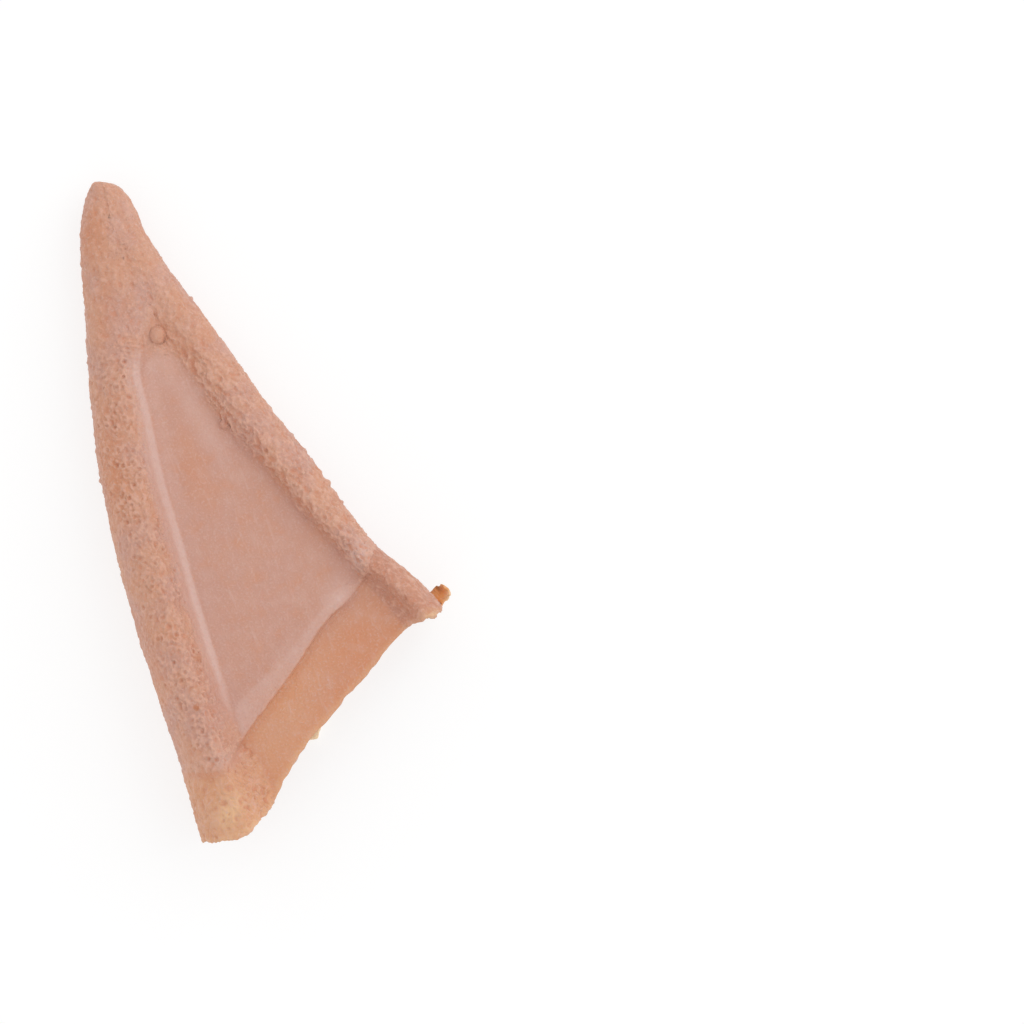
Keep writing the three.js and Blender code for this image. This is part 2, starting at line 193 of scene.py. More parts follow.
def outside(piece):
    """Which faces are on the outer skin: a ray out of an inner one meets the wall across the hollow.

    Near the open base such a ray can leave by the mouth, so a second one, bent up, is tried too.
    """
    faces = piece.data.polygons
    centres = array_of(faces, "center", 3)
    normals = array_of(faces, "normal", 3)
    corners = array_of(piece.data.vertices, "co", 3).tolist()
    tree = BVHTree.FromPolygons(corners, [list(face.vertices) for face in faces])
    starts = (centres + normals * RAY_START).tolist()
    free = np.ones(len(faces), bool)
    for directions in (normals, normals + BENT_UP * UP):
        free &= [tree.ray_cast(a, n)[0] is None for a, n in zip(starts, directions.tolist())]
    return free


def front_faces(piece):
    """Which faces of the outer skin are on the front: those that don't look down."""
    return outside(piece) & (array_of(piece.data.polygons, "normal", 3)[:, 2] > FRONT_SLANT)


print("front:", int(front_faces(ear).sum()), "of", len(ear.data.polygons), "faces")

# %% Cut the long edges of the front and crease the sharp ones
LONG_EDGE = 2.6
CURL_START = place(.955, 0)[0]

on_front = points_of(ear, front_faces(ear))
ends, _, lengths = edges_of(ear)
pick(ear, "EDGE", on_front[ends].all(axis=1) & (lengths > LONG_EDGE))
with editing(ear, "EDGE"):
    bpy.ops.mesh.subdivide(number_cuts=1)
    bpy.ops.mesh.select_all(action="DESELECT")
    bpy.ops.mesh.edges_select_sharp(sharpness=SHARP_ANGLE)
    bpy.ops.transform.edge_crease(value=1)

# the strip that curls forward at the right corner of the base is soft, so it gets no crease
_, places, _ = edges_of(ear)
pick(ear, "EDGE", (places[:, :, 0] > CURL_START).all(axis=1))
with editing(ear, "EDGE"):
    bpy.ops.transform.edge_crease(value=-1)
print("front cut finer:", len(ear.data.polygons), "faces")

# %% Divide every face smoothly
SMOOTH_LEVELS = 1


def apply_modifier(piece, kind, name, **settings):
    """Adds a modifier with its settings and applies it to the piece's mesh."""
    modifier = piece.modifiers.new(name, kind)
    for key, value in settings.items():
        setattr(modifier, key, value)
    with bpy.context.temp_override(object=piece, active_object=piece):
        bpy.ops.object.modifier_apply(modifier=name)


apply_modifier(ear, "SUBSURF", "smooth", levels=SMOOTH_LEVELS, render_levels=SMOOTH_LEVELS)
print("smoothed:", len(ear.data.vertices), "points")

# %% [markdown]
# ## Where the skin is rough
#
# The rims, the tip and the lobe keep the rough skin of the mould. The panel between the rims and the
# thin skirt below it are smooth. Both smooth fields are drawn as closed outlines in plan, and the skin
# outside them is rough. The way in from an outline is measured for every point, so that a field can
# fade out over any width.

# %% Outlines of the smooth fields
PANEL_LEFT = line((.211, .744), (.175, .73), (.166, .7), (.168, .657), (.179, .594), (.195, .53),
                  (.237, .467), (.277, .382), (.314, .33), (.368, .23), (.402, .192), (.442, .161))
PANEL_RIGHT = line((.211, .744), (.259, .732), (.299, .711), (.344, .667), (.386, .631), (.437, .598),
                   (.525, .551), (.58, .506), (.636, .476), (.698, .441), (.745, .4))
STEP = line((.272, .108), (.392, .108), (.445, .164), (.49, .198), (.591, .274), (.65, .334),
            (.711, .363), (.745, .382), (.791, .446))
SKIRT_LEFT = line((.442, .161), (.469, .144), (.501, .111), (.54, .06))
SKIRT_RIGHT = line((.745, .4), (.79, .375), (.852, .334), (.9, .3))


def to_line(plan, path):
    """For points in plan: the distance to the right of a path, and the distance along it, in mm."""
    best = np.full(len(plan), 1e9)
    side = np.zeros(len(plan))
    along = np.zeros(len(plan))
    start = 0
    for a, b in zip(path, path[1:]):
        run = b - a
        length = np.hypot(*run)
        share = np.clip((plan - a) @ run / length**2, 0, 1)
        away = plan - a - share[:, None] * run
        gap = np.hypot(*away.T)
        closer = gap < best
        turn = np.sign(away[:, 0] * run[1] - away[:, 1] * run[0])
        side = np.where(closer, turn * gap, side)
        along = np.where(closer, start + share * length, along)
        best = np.where(closer, gap, best)
        start += length
    return side, along


def into(plan, outline):
    """How far points in plan lie inside a closed outline, in millimetres; outside it is negative."""
    inside = np.zeros(len(plan), bool)
    for a, b in zip(outline, np.roll(outline, -1, axis=0)):
        between = (a[1] > plan[:, 1]) != (b[1] > plan[:, 1])
        rise = b[1] - a[1] if b[1] != a[1] else 1
        crossing = (b[0] - a[0]) * (plan[:, 1] - a[1]) / rise + a[0]
        inside ^= between & (plan[:, 0] < crossing)
    gap = np.abs(to_line(plan, np.vstack([outline, outline[:1]]))[0])
    return np.where(inside, gap, -gap)


# both lines of the panel start at its top, so that point is left out of the second
PANEL = np.vstack([PANEL_LEFT, PANEL_RIGHT[:0:-1]])
SKIRT = np.vstack([SKIRT_LEFT, SKIRT_RIGHT[::-1]])
print("panel outline of", len(PANEL), "points, skirt outline of", len(SKIRT))

# %% [markdown]
# ## Dense where it is rough, coarse where nothing shows
#
# The marks of the rough skin are about a millimetre across, so its points have to be less than half a
# millimetre apart. The smooth fields need fewer, and the hidden inside and back no more than they have.
# So the edges of the front are cut in two wherever they are longer than the field allows, and again,
# at most four times. The new points are set on the curve of the skin, not on the straight edge. Only
# triangles are cut, because a triangle comes out well whichever of its edges are cut.

# %% Cut the edges that are too long
ROUGH_EDGE = 0.48
SMOOTH_EDGE = 0.75
MOST_ROUNDS = 4
WHOLLY_FRONT = 0.99


def fade(value, start, end):
    """0 before start, 1 past end and a smooth rise or fall between them, whichever way they lie."""
    share = np.clip((value - start) / (end - start), 0, 1)
    return share * share * (3 - 2 * share)


# kept on the mesh, the mark is handed on to the points that a cut adds
marked = points_of(ear, front_faces(ear)).astype(np.float32)
ear.data.attributes.new("on_front", "FLOAT", "POINT").data.foreach_set("value", marked)

for _ in range(MOST_ROUNDS):
    with editing(ear, "FACE"):
        bpy.ops.mesh.select_all(action="SELECT")
        bpy.ops.mesh.quads_convert_to_tris(quad_method="BEAUTY")
    ends, places, lengths = edges_of(ear)
    marked = array_of(ear.data.attributes["on_front"].data, "value", 1)[:, 0]
    middle = places.mean(axis=1)[:, :2]
    smooth = fade(np.maximum(into(middle, PANEL), into(middle, SKIRT)), -0.5, 1)
    wanted = ROUGH_EDGE + (SMOOTH_EDGE - ROUGH_EDGE) * smooth
    too_long = (marked[ends] > WHOLLY_FRONT).all(axis=1) & (lengths > wanted)
    if not too_long.any():
        break
    pick(ear, "EDGE", too_long)
    with editing(ear, "EDGE"):
        bpy.ops.mesh.subdivide(number_cuts=1, smoothness=1)
    print("cut", int(too_long.sum()), "edges, now", len(ear.data.polygons), "faces")

# %% [markdown]
# ## The curled strip
#
# At the right corner of the base a thin strip of the back curls forward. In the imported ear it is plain
# and square. Each of its points is now moved towards the middle of its neighbours, a few times over,
# which rounds it as soft latex is.

# %% Round the curled strip
CURL_SMOOTHING = 0.5
CURL_ROUNDS = 10

pick(ear, "FACE", array_of(ear.data.polygons, "center", 3)[:, 0] / MM > CURL_START)
with editing(ear, "FACE"):
    bpy.ops.mesh.vertices_smooth(factor=CURL_SMOOTHING, repeat=CURL_ROUNDS)
print("triangles so far:", sum(len(face.vertices) - 2 for face in ear.data.polygons))

# %% [markdown]
# ## The relief of the skin
#
# Each kind of mark is a height in millimetres at every point of the front, made by its own short
# function, and their sum moves the points along the skin's normals. A Displace modifier with a texture
# could do one of them, but not wrinkles that follow the rims, or a wart at a chosen place.

# %% Points and normals of the front
mesh = ear.data
where = array_of(mesh.vertices, "co", 3) / MM
normal = array_of(mesh.vertices, "normal", 3)
plan = where[:, :2]

outer = points_of(ear, outside(ear))
front = outer & (normal[:, 2] > FRONT_SLANT)
front_where = where[front]
front_plan = plan[front]


def near(across, up, radius, length=0, turn=0):
    """1 at a place and 0 past a radius in millimetres, or past a longer one in the turned direction."""
    c, s = math.cos(math.radians(turn)), math.sin(math.radians(turn))
    away = front_plan - place(across, up)
    sideways = (away[:, 0] * c + away[:, 1] * s) / radius
    lengthways = (away[:, 1] * c - away[:, 0] * s) / (length or radius)
    return fade(np.hypot(sideways, lengthways), 1, 0)


print("points:", len(where), "of which on the front:", len(front_where))

# %% [markdown]
# ## Fields to work in
#
# A field is a number from 0 to 1 at every point of the front. The crease at the foot of the left rim,
# the foot of the right rim and the step across the base are lines in plan, and most fields are the
# distance to one of them, faded.

# %% Measure the distances to the main lines
CREASE = line((.432, .174), (.4, .232), (.357, .307), (.317, .382), (.275, .467), (.24, .53),
              (.213, .594), (.192, .657), (.173, .692), (.166, .717), (.172, .745), (.2, .78))
BASE = line((.29, .004), (.33, .0), (.404, .007), (.483, .032), (.529, .067), (.536, .087), (.62, .162),
            (.724, .227), (.854, .31), (.887, .333), (.916, .333), (.956, .345), (.979, .355))

panel_in = into(front_plan, PANEL)
skirt_in = into(front_plan, SKIRT)
crease_side = to_line(front_plan, CREASE)[0]
foot_side = to_line(front_plan, PANEL_RIGHT)[0]
step_side, step_along = to_line(front_plan, STEP)
base_side = to_line(front_plan, BASE)[0]
up_share = (front_plan[:, 1] - place(0, 0)[1]) / EAR_LENGTH
across_share = (front_plan[:, 0] - place(0, 0)[0]) / EAR_WIDTH

above_wart = fade(up_share, .72, .78)
below_step = fade(step_side, -0.2, 0.2)
right_rim = fade(foot_side, 0.3, -0.9) * (1 - above_wart) * (1 - below_step)
left_rim = fade(crease_side, -0.9, -3) * (1 - above_wart) * (1 - below_step)
print("right rim", int(right_rim.sum()), "points, left rim", int(left_rim.sum()), "points")

# %% [markdown]
# ## Kinds of marks
#
# Perlin noise gives lumps, its ridged form gives threads such as wrinkles in latex, and scattered
# centres give pits with a lip. The points are turned, stretched and bent by slow noise before the
# noise is read, so that the threads run the way that the mould's did.

# %% Noise at many points
NOISE_SEED = 7

# without a seed, the vectors of this noise would differ from run to run
noise.seed_set(NOISE_SEED)


def stretched(points, size, stretch=1, turn=0, seed=0, bend=0.35):
    """Points in sizes of the marks, longer in the turned direction, and bent by slow noise."""
    c, s = math.cos(math.radians(turn)), math.sin(math.radians(turn))
    run = (points[:, 0] * c + points[:, 1] * s) / (size * stretch)
    side = (points[:, 1] * c - points[:, 0] * s) / size
    turned = np.stack([run, side, points[:, 2] / size], axis=1)
    slow = np.array([noise.noise_vector(p) for p in (turned * 0.6 + 17 + seed).tolist()])
    return (turned + bend * slow + seed).tolist()


def lumps(points, size, **how):
    """Smooth lumps and dips from -1 to 1."""
    return np.array([noise.noise(p) for p in stretched(points, size, **how)])


def threads(points, size, **how):
    """Thin raised threads between round dips, from about -0.6 to 0.6."""
    found = [noise.ridged_multi_fractal(p, 0.9, 2.1, 2, 1, 1) for p in stretched(points, size, **how)]
    return np.array(found) - 0.8


PIT_RADIUS = 0.26
LIP_RADIUS = 0.4
LIP_WIDTH = 0.12
LIP_HEIGHT = 0.8


def craters(points, size, kept=0.8, **how):
    """Round pits with a raised lip: below 0 in the pit and above it on the lip. A share is kept.

    The radii are shares of the pits' size, and the lip's height is a share of the pits' depth. Every
    pit has a chance of its own, read from the noise at its centre.
    """
    found = [noise.voronoi(p) for p in stretched(points, size, bend=0.15, **how)]
    gap = np.array([distances[0] for distances, _ in found])
    chance = np.array([noise.cell(centres[0] * 9.7) for _, centres in found]) / 2 + 0.5
    lip = np.exp(-(((gap - LIP_RADIUS) / LIP_WIDTH) ** 2))
    pit = np.exp(-((gap / PIT_RADIUS) ** 2))
    return (LIP_HEIGHT * lip - pit) * fade(chance, 1 - kept, 1 - 0.7 * kept)


def ripples(points, size, **how):
    """Even waves, a size apart, along the turned direction."""
    return 0.5 * np.sin(2 * math.pi * np.array(stretched(points, size, **how))[:, 1])


def marks(field, depth, kind, size, **how):
    """One kind of mark over one field, in millimetres. The noise is read only where the field holds."""
    found = np.zeros(len(field))
    here = field > 0.01
    found[here] = field[here] * depth * kind(front_where[here], size, **how)
    return found


print("threads range:", np.round(np.percentile(threads(front_where[::50], 1.5), (5, 95)), 2))

# %% [markdown]
# ## The marks of each field
#
# The rims are wrinkled lengthways, and the left one is pitted too, most of all on its crest. A fan of
# even folds lies to the left of the wart, and the skin right round the wart is calm. The right rim is
# crumpled where it meets the step. Below the step, the left rim ends in a lumpy lobe with a lace of
# threads, and the right one in a coarse end. Each call names the field, the depth, the kind and the
# size of its marks, with depth and size in millimetres.

# %% Wrinkles, pits and lumps of each field
LENGTHWAYS = 100
ALONG_RIGHT_RIM = -48
ACROSS_FAN = -12
ACROSS_PANEL = 70

near_foot = fade(foot_side, -8, -1.5)
on_crest = fade(crease_side, -12.5, -8) * fade(crease_side, -2, -3.5)
fan = near(.135, .742, 4.5, 6.5)
crumpled = near(.752, .436, 3.4, 5.2, -25)
lobe = fade(step_side, 0.4, 2) * fade(skirt_in, 0, -0.8) * fade(across_share, .62, .58)
lace = np.minimum(near(.43, .135, 6, 4) + near(.47, .07, 5, 6, -40), 1)
rim_end = below_step * fade(skirt_in, 0, -0.8) * fade(across_share, .66, .7)
rough = fade(np.maximum(panel_in, skirt_in) + 1.4 * lumps(front_where, 2.6, seed=41), 0.9, -0.6)
rim_foot = fade(crease_side, -1, -2.6) * fade(crease_side, -6, -4) * (1 - below_step)
rough = np.maximum(rough, 0.7 * rim_foot)
calm = near(.21, .766, 2.9, 3.3)

broad = marks(rough, 0.16, lumps, 7)
broad += marks(rough, 0.16, lumps, 2.2, seed=3)
relief = marks(rough, 0.17, lumps, 0.9, seed=2)
relief += marks(rough * (1 - below_step * 0.5), 0.16, threads, 0.9, stretch=1.2, seed=4)
relief += marks(above_wart, 0.2, threads, 1.2, stretch=1.8, turn=LENGTHWAYS, seed=5)
relief += marks(right_rim * (0.55 + 0.45 * near_foot), 0.5, threads, 1.15, stretch=1.7,
                turn=ALONG_RIGHT_RIM, seed=7)
relief += marks(right_rim, 0.16, craters, 1.4, kept=0.6, seed=8)
relief += marks(left_rim * (0.35 + 0.65 * on_crest), 0.34, craters, 1.6, kept=0.85, seed=9)
relief += marks(left_rim * (0.3 + 0.7 * on_crest), 0.28, threads, 1.05, stretch=1.4,
                turn=LENGTHWAYS, seed=11)
relief += marks(fan, 0.3, ripples, 0.95, stretch=5, turn=ACROSS_FAN, seed=13, bend=0.35)
relief += marks(crumpled, 0.4, threads, 0.95, seed=15)
relief += marks(lobe * (0.5 + 0.5 * lace), 0.5, threads, 1.25, seed=17)
relief += marks(rim_end, 0.26, threads, 1.2, stretch=1.5, turn=ALONG_RIGHT_RIM, seed=19)
relief += marks(rim_end, 0.16, lumps, 2, seed=20)
relief += marks(1 - rough, 0.05, lumps, 1.6, stretch=3, turn=ACROSS_PANEL, seed=21)

# the marks are shallower low on the flanks, where the skin turns under
flank = fade(normal[front][:, 2], FRONT_SLANT, 0.2)
detail = relief * (1 - calm) * (0.3 + 0.7 * flank)
relief = detail + broad * (1 - calm)
print("relief from", round(relief.min(), 2), "to", round(relief.max(), 2), "millimetres")

# %% [markdown]
# ## Single warts, moles and nubs
#
# Small bumps that can be told apart in the photograph are set one by one: across, up, radius and
# height. Those on the very edge stand out sideways, because the skin's normal does there. A bump
# flattens the wrinkles under it by half and leaves those around it alone. The wart is the largest, a
# little narrower than it is long.

# %% Set the single bumps
BUMPS = (
    (.3, .825, .55, .5), (.381, .764, .4, .2), (.437, .702, .4, .2), (.479, .669, .5, .25),
    (.57, .618, .5, .3), (.6, .593, .45, .35), (.619, .58, .4, .25), (.641, .56, .5, .3),
    (.665, .545, .7, .6), (.686, .529, .4, .3), (.706, .517, .6, .5), (.768, .467, .4, .3),
    (.02, .726, .4, .3), (.031, .657, .45, .3), (.055, .547, .55, .5), (.002, .921, .3, .15),
    (.002, .876, .3, .15), (.067, .53, .35, .25),
    (.208, .654, .6, .25), (.24, .609, .5, .2), (.155, .489, .6, .2), (.171, .473, .5, .15),
    (.322, .28, .8, .2), (.322, .207, .5, .12),
)
WART = (.2102, .7659, 1.95, 0.55)
WART_WIDTH = 0.78


def dome(across, up, radius, tall, width=1):
    """A round-topped bump at a place: its radius and height in millimetres, its width as a share."""
    away = front_plan - place(across, up)
    gap = np.hypot(away[:, 0] / width, away[:, 1]) / radius
    return tall * np.sqrt(np.clip(1 - gap**2, 0, 1))


relief += dome(*WART, width=WART_WIDTH)
for across, up, radius, tall in BUMPS:
    bump = dome(across, up, radius, tall)
    relief = np.where(bump > 0, np.maximum(relief, relief * 0.5 + bump), relief)
print(len(BUMPS), "single bumps, highest relief", round(relief.max(), 2), "millimetres")

# %% [markdown]
# ## The ragged cut
#
# The base is cut with scissors, in short snips that don't quite meet. The points near the cut are
# pushed out of the base or into it by slow and quick noise, most of all at the right corner, and both
# skins at the cut move nearly alike. Only then are the points written back to the mesh, with soft
# shading over all but its sharp edges.

# %% Move the points
OUT_OF_BASE = np.array([.694, -.72, 0])
SNIPS = 1.7
WAVES = 5
SMOOTH_ANGLE = math.radians(60)

where[front] += normal[front] * relief[:, None]
ragged = 0.5 * lumps(where, SNIPS, seed=31) + 0.7 * lumps(where, WAVES, seed=33)
strength = fade(np.abs(to_line(where[:, :2], BASE)[0]), 1.6, 0.2)
strength *= 0.6 + 0.6 * fade(where[:, 0], place(.85, 0)[0], place(.92, 0)[0])
where += OUT_OF_BASE * (ragged * strength)[:, None]
mesh.vertices.foreach_set("co", (where * MM).ravel())
mesh.update()
with editing(ear, "FACE"):
    bpy.ops.mesh.select_all(action="DESELECT")
bpy.ops.object.shade_smooth_by_angle(angle=SMOOTH_ANGLE)
print("moved", int((np.abs(relief) > 0.01).sum()), "points")

# %% [markdown]
# ## Fields of colour
#
# The latex is one colour in the bottle. On the ear it is pinkish where a bloom of powder stays in the
# hollows and on the slopes, oranger where it is thin or worn, and creamy where it is only a film. The
# inner slope of the left rim, which faces the light, also gets a painted highlight in the bloom field,
# and the grooves, the crease and the skirt under the step get painted shade. Each of these is kept
# as a number on every point, which the material reads by its name. The height of the marks is kept
# too: the pits are painted oranger and darker, partly as painted shade, and the raised threads paler,
# partly powder and partly painted highlight.

# %% Ways to paint a field
def keep(name, values):
    """Keeps a number from 0 to 1 for every point of the ear, which the material reads by its name."""
    kept = np.clip(values, 0, 1).astype(np.float32)
    mesh.attributes.new(name, "FLOAT", "POINT").data.foreach_set("value", kept)


def paint(name, values, elsewhere=0.0):
    """Keeps a field of the front, and something else on the rest of the ear."""
    spread = np.zeros(len(where)) + elsewhere
    spread[front] = values
    keep(name, spread)


def low_around(across, up, radius, below):
    """1 near a place in plan, on all skin below a height in millimetres, the back and inside too."""
    gap = np.hypot(*(where[:, :2] - place(across, up)).T)
    return fade(gap, radius, radius - 1) * (where[:, 2] < below)


# %% Powder bloom on slopes, along the step and in the hollows, and a painted highlight on the lit slope
# the left rim's inner slope faces the light: its bloom is powder and a painted highlight, brightest in a
# thin line near the crease
slope = fade(crease_side, -3.6, -2.6) * fade(crease_side, 0.3, -0.5) * (1 - below_step)
slope *= fade(up_share, .17, .3) * fade(up_share, .76, .7)
band_width = 2 + 3.2 * fade(step_along, 46, 16)
band = fade(-step_side, band_width + 0.3, band_width - 0.7) * (1 - below_step)
band *= fade(step_along, 10, 14) * fade(step_along, 56, 46) * fade(crease_side, -1, 1)
bloom_and_highlight_line = fade(crease_side, -1.9, -1) * fade(crease_side, 0.2, -0.3) * slope
bloom_and_highlight = 0.35 * slope + 0.75 * bloom_and_highlight_line + 0.4 * band + 0.9 * crumpled
bloom_and_highlight += 0.2 * near(.19, .8, 4, 16, -12)
bloom_and_highlight += 0.25 * fade(crease_side, 4, 1) * fade(crease_side, -0.2, 0.6) * fade(panel_in, 0, 1)
bloom_and_highlight += 0.5 * near(.4, .13, 6, 4) + 0.45 * near(.7, .375, 2.5, 5, -40)
bloom_and_highlight += 0.4 * near(.335, .63, 3, 18, 32) + 0.25 * near(.23, .72, 4, 6) + 0.3 * near(.68, .38, 4, 6, -40)
print("bloom on", int((bloom_and_highlight > 0.2).sum()), "points")

# %% Orange where the skin is thin or worn, and creamy where it is a film
upper_skirt = fade(step_along, 36, 46) * fade(step_side, 7, 0)
orange = 0.9 * near(.1, .563, 5, 19, 10) + 0.8 * near(.04, .92, 4, 10) + 0.4 * near(.07, .8, 4, 12)
orange += 0.4 * near(.2, .28, 5, 16, 12) + 0.45 * near(.315, .56, 4, 15, 22)
orange += 0.3 * near(.33, .78, 4, 12, 30)
thin = 0.65 + 0.35 * fade(base_side, -5, -0.5)
orange += below_step * thin * (1 - 0.45 * rim_end) * (1 - 0.7 * upper_skirt)
orange += 0.7 * near(.34, .085, 4.5, 6)
orange += 0.5 * near(.551, .232, 5, 9, -40) + 0.4 * near(.724, .3, 6, 8, -45)
cream = 0.4 * near(.408, .05, 3.4, 6.5, -25) + 0.25 * near(.42, .05, 8, 9)
cream += 0.5 * near(.94, .345, 3.2, 2.2)
cream += 0.3 * fade(base_side, -1.5, -0.2)
cream += 0.25 * lobe + 0.2 * below_step * fade(across_share, .74, .52) * fade(skirt_in, -2, 2)
print("orange on", int((orange > 0.2).sum()), "points, cream on", int((cream > 0.2).sum()))

# %% Painted shade in the grooves and under the step, the moles, the curled strip, and painted light on the flap
# painted shade: darker colour in the groove at the right rim's foot, beside the crease, on the skirt
# under the step and on the end of the right rim
groove = fade(foot_side, 2, 0) * fade(foot_side, -2, -0.3) * fade(up_share, .7, .58)
painted_shade = 0.3 * groove * (1 - below_step)
painted_shade += 0.2 * upper_skirt * below_step + 0.42 * rim_end
painted_shade += 0.2 * fade(crease_side, 2.5, 0.6) * fade(crease_side, -0.2, 0.4)
mole = np.maximum(np.minimum(near(.322, .28, 1.1), 0.5), np.minimum(near(.322, .207, 0.9) * 2, 1))
curl_start, curl_full = place(.93, 0)[0], place(.95, 0)[0]
curl = low_around(.975, .378, 5, 9) * fade(where[:, 0], curl_start, curl_full)
# the flap lies in shade under the skirt, so painted light lifts it to a pale cream
flap = np.maximum(low_around(.64, .175, 4.5, 2.2), 0.7 * low_around(.995, .37, 2, 9))
hidden = ~outer * (1 - np.maximum(curl, flap))

# %% Keep the fields on the mesh
HIGHEST_MARK = 0.3

paint("bloom_and_highlight", bloom_and_highlight * flank)
paint("orange", orange * flank)
paint("cream", cream * flank)
paint("painted_shade", painted_shade * flank)
paint("mole", mole)
paint("height", 0.5 + detail / (2 * HIGHEST_MARK), 0.5)
paint("rough", rough, 0.3 + 0.6 * outer)
keep("curl", curl)
keep("flap", flap)
paint("panel", fade(panel_in, -1, 1))
keep("hidden", hidden)
print("fields:", [a.name for a in mesh.attributes if a.data_type == "FLOAT"])

# %% [markdown]
# ## Writing shader sums in Python
#
# A material is a tree of nodes. Drawing it by hand is quick, but in a script a sum of five masks takes
# a page. This small class wraps the socket that a node gives out, so that +, -, * and / on it add the
# Math nodes.

# %% A socket that can be reckoned with
class Paint:
    """A socket of a node, or a tree alone, on which nodes are added by reckoning with it."""

    def __init__(self, tree, socket):
        self.tree = tree
        self.socket = socket

    def node(self, kind, settings, sockets, result=0):
        """Adds a node: first its settings, then a value or a link for each socket."""
        made = self.tree.nodes.new(kind)
        for name, value in settings.items():
            setattr(made, name, value)
        for name, value in sockets.items():
            if isinstance(value, Paint):
                self.tree.links.new(value.socket, made.inputs[name])
            else:
                made.inputs[name].default_value = value
        return Paint(self.tree, made.outputs[result])

    def math(self, operation, first, second=0.0):
        return self.node("ShaderNodeMath", {"operation": operation}, {0: first, 1: second})

    def __add__(self, other):
        return self.math("ADD", self, other)

    def __radd__(self, other):
        return self.math("ADD", other, self)

    def __sub__(self, other):
        return self.math("SUBTRACT", self, other)

    def __rsub__(self, other):
        return self.math("SUBTRACT", other, self)

    def __mul__(self, other):
        return self.math("MULTIPLY", self, other)

    def __rmul__(self, other):
        return self.math("MULTIPLY", other, self)

    def fade(self, start, end):
        """0 at start, 1 at end and smooth between them."""
        return self.node("ShaderNodeMapRange", {"interpolation_type": "SMOOTHSTEP"},
                         {"Value": self, "From Min": start, "From Max": end})

    def tint(self, base, colour):
        """The base colour where this is 0, and the other colour where it is 1."""
        return self.node("ShaderNodeMix", {"data_type": "RGBA"}, {0: self, 6: base, 7: colour}, 2)


# %% Colours and materials
def colour(red, green, blue):
    """A colour as a screen shows it, from 0 to 255, turned into the numbers that light adds up in."""
    return tuple((c / 255 / 12.92 if c < 11 else ((c / 255 + 0.055) / 1.055) ** 2.4)
                 for c in (red, green, blue)) + (1,)


def material(name):
    """A new material: its tree, ready to take nodes, and its main shader."""
    made = bpy.data.materials.new(name)
    made.use_nodes = True
    return made, Paint(made.node_tree, None), made.node_tree.nodes["Principled BSDF"]


def settle(shader, **values):
    """Sets sockets of a shader that are the same all over; a _ in a name stands for its space."""
    for name, value in values.items():
        shader.inputs[name.replace("_", " ")].default_value = value


def connect(shader, name, value):
    """Leads what changes over the surface into a socket of a shader."""
    value.tree.links.new(value.socket, shader.inputs[name])


# %% [markdown]
# ## The latex
#
# The skin is one colour after another, each laid over the last by a painted field or by cloudy noise:
# tan and pink in clouds, orange, painted shade, cream, powder bloom with a painted highlight, then the
# pits with painted shade, the raised threads with a painted highlight, and the moles.
# The finest wrinkles and pores, a few tenths of a millimetre across, are too small even for this mesh,
# so they are a bump. Real latex lets a little light in and has a soft dull sheen.

# %% Patterns on the latex
latex, tree, latex_shader = material("latex")
spot = tree.node("ShaderNodeTexCoord", {}, {}, "Object")


def field(name):
    """One of the painted fields."""
    return tree.node("ShaderNodeAttribute", {"attribute_name": name}, {}, "Fac")


def blotches(size, detail=3.0):
    """Cloudy noise from 0 to 1, with blotches of a size in millimetres."""
    sockets = {"Vector": spot, "Scale": 1 / (size * MM), "Detail": detail}
    return tree.node("ShaderNodeTexNoise", {}, sockets)


cloud = blotches(9)
mottle = blotches(3.2, 5.0)
speckle = blotches(1.1)
grain = blotches(0.4, 2.0)
height = field("height")
rough_skin = field("rough")
smooth_skin = 1 - rough_skin
stretched_spot = tree.node("ShaderNodeMapping", {"vector_type": "TEXTURE"},
                           {"Vector": spot, "Rotation": (0, 0, math.radians(20)), "Scale": (1, 9, 1)})
streaks = tree.node("ShaderNodeTexNoise", {},
                    {"Vector": stretched_spot, "Scale": 1 / (0.7 * MM), "Detail": 3.0})
print("patterns:", len(latex.node_tree.nodes), "nodes")

# %% Lay the colours over one another
TAN = colour(209, 154, 127)
PINK = colour(202, 152, 134)
ORANGE = colour(208, 140, 103)
# pale powder bloom, also used for a painted highlight on the lit slope and the raised threads
BLOOM_AND_HIGHLIGHT = colour(216, 178, 166)
CREAM = colour(234, 188, 144)
# painted shade for grooves and recesses, also used for the dark specks of the grain
SHADE_AND_SPECKS = colour(184, 124, 102)
# pits: oranger latex and painted shade; raised threads: powder and a painted highlight
PIT_ORANGE_AND_SHADE = colour(208, 138, 106)
RAISED_POWDER_AND_HIGHLIGHT = colour(222, 171, 148)
BROWN = colour(192, 122, 86)
INSIDE = colour(214, 156, 116)
CURL = colour(228, 160, 98)
# the flap's cream film with painted light on it, lighter than the film itself
LIT_CREAM_FLAP = colour(252, 224, 182)

skin = cloud.fade(0.4, 0.6).tint(TAN, PINK)
skin = (field("panel") * 0.8).tint(skin, PINK)
skin = (field("orange") * (0.7 + cloud * 0.6)).tint(skin, ORANGE)
skin = (mottle.fade(0.5, 0.72) * 0.35).tint(skin, ORANGE)
skin = (mottle.fade(0.5, 0.3) * 0.18).tint(skin, BLOOM_AND_HIGHLIGHT)
# painted shade in the grooves and recesses
skin = field("painted_shade").tint(skin, SHADE_AND_SPECKS)
skin = (field("cream") * (0.6 + speckle * 0.8)).tint(skin, CREAM)
# powder bloom, with a painted highlight on the left rim's lit inner slope
skin = (field("bloom_and_highlight") * (0.4 + speckle * 1.2)).tint(skin, BLOOM_AND_HIGHLIGHT)
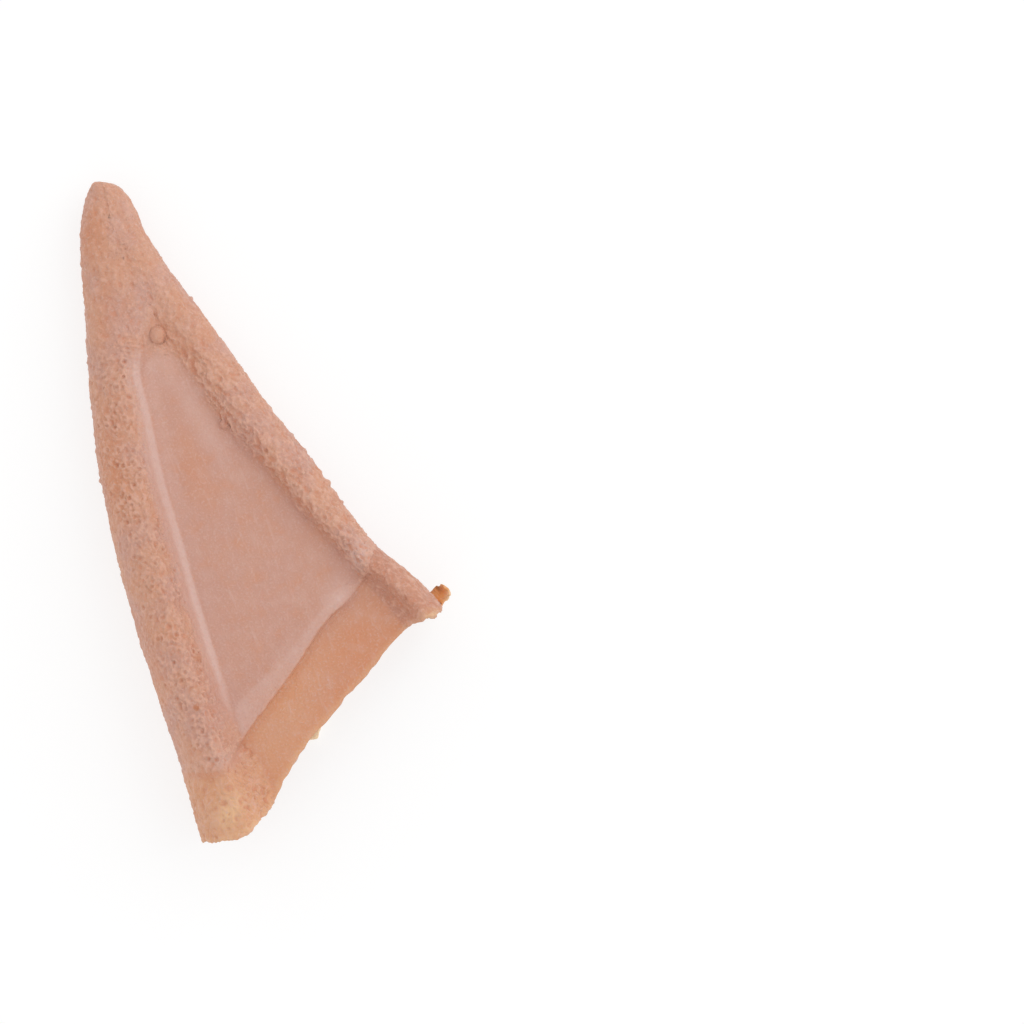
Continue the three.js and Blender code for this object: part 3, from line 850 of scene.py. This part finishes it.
# painted shade in the pits, which are oranger too, and a painted highlight on the raised threads
skin = (height.fade(0.47, 0.08) * 0.6).tint(skin, PIT_ORANGE_AND_SHADE)
skin = (height.fade(0.54, 0.9) * 0.65).tint(skin, RAISED_POWDER_AND_HIGHLIGHT)
skin = field("mole").tint(skin, BROWN)
skin = (field("hidden") * 0.9).tint(skin, INSIDE)
skin = field("curl").tint(skin, CURL)
# painted light on the flap
skin = field("flap").tint(skin, LIT_CREAM_FLAP)
skin = (grain.fade(0.52, 0.7) * 0.4).tint(skin, BLOOM_AND_HIGHLIGHT)
skin = (grain.fade(0.46, 0.28) * 0.12).tint(skin, SHADE_AND_SPECKS)
skin = (streaks.fade(0.56, 0.75) * smooth_skin * 0.3).tint(skin, BLOOM_AND_HIGHLIGHT)
connect(latex_shader, "Base Color", skin)
print("pink in linear light:", [round(c, 3) for c in PINK])

# %% Dullness, softness and the finest bump
BUMP_DEPTH = 0.28 * MM

connect(latex_shader, "Roughness", 0.52 + 0.16 * speckle - 0.06 * field("orange"))
settle(latex_shader, Subsurface_Weight=0.1, Subsurface_Radius=(1, 0.45, 0.25), Subsurface_Scale=MM)
settle(latex_shader, Sheen_Weight=0.2, Sheen_Roughness=0.45, Sheen_Tint=colour(255, 236, 224))
wrinkle = tree.node("ShaderNodeTexNoise", {"noise_type": "RIDGED_MULTIFRACTAL"},
                    {"Vector": spot, "Scale": 1 / (1.0 * MM), "Detail": 2.0})
pores = tree.node("ShaderNodeTexVoronoi", {}, {"Vector": spot, "Scale": 1 / (0.8 * MM)})
fine = rough_skin * (0.6 * wrinkle + 0.3 * pores.fade(0, 0.5)) + 0.45 * grain + 0.2 * streaks
bump = tree.node("ShaderNodeBump", {}, {"Height": fine, "Strength": 1.0, "Distance": BUMP_DEPTH})
connect(latex_shader, "Normal", bump)
ear.data.materials.append(latex)
print("latex:", len(latex.node_tree.nodes), "nodes")

# %% [markdown]
# ## Floor and light
#
# The photograph has a plain white ground and very soft light, strongest from the upper right. The
# floor glows a little, so that it comes out as white as that ground and still takes a faint shadow.
# It lies a hair under the ear, whose dressed back is not quite flat.

# %% Lay the floor
FLOOR_SIZE = 6
FLOOR_DROP = 0.3 * MM

bpy.ops.mesh.primitive_plane_add(size=FLOOR_SIZE, location=(0, 0, -FLOOR_DROP))
floor = bpy.context.object
floor.name = "floor"
ground, _, ground_shader = material("ground")
settle(ground_shader, Base_Color=(0.3, 0.3, 0.3, 1), Roughness=0.9)
settle(ground_shader, Emission_Color=(1, 1, 1, 1), Emission_Strength=0.71)
floor.data.materials.append(ground)
print("floor", FLOOR_SIZE, "m wide")

# %% Hang the lights
ROOM_LIGHT = 0.85
KEY_PLACE = Vector((0.9, 0.7, 1.0))
KEY_SIZE = 1.2
KEY_WATTS = 5

world = bpy.data.worlds.new("studio")
world.use_nodes = True
settle(world.node_tree.nodes["Background"], Color=(1, 1, 1, 1), Strength=ROOM_LIGHT)
scene.world = world

bpy.ops.object.light_add(type="AREA", location=KEY_PLACE)
key = bpy.context.object
key.name = "key"
key.data.shape = "SQUARE"
key.data.size = KEY_SIZE
key.data.energy = KEY_WATTS
key.rotation_euler = (-KEY_PLACE).to_track_quat("-Z", "Y").to_euler()
scene.view_settings.view_transform = "Standard"
print("key light", round(KEY_PLACE.length, 2), "m away")

# %% Fasten the skin to the ear's body
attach(ear, "root")
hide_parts("latex_ear")

# %% Measure and finish
print("triangles:", sum(len(p.vertices) - 2 for p in ear.data.polygons))
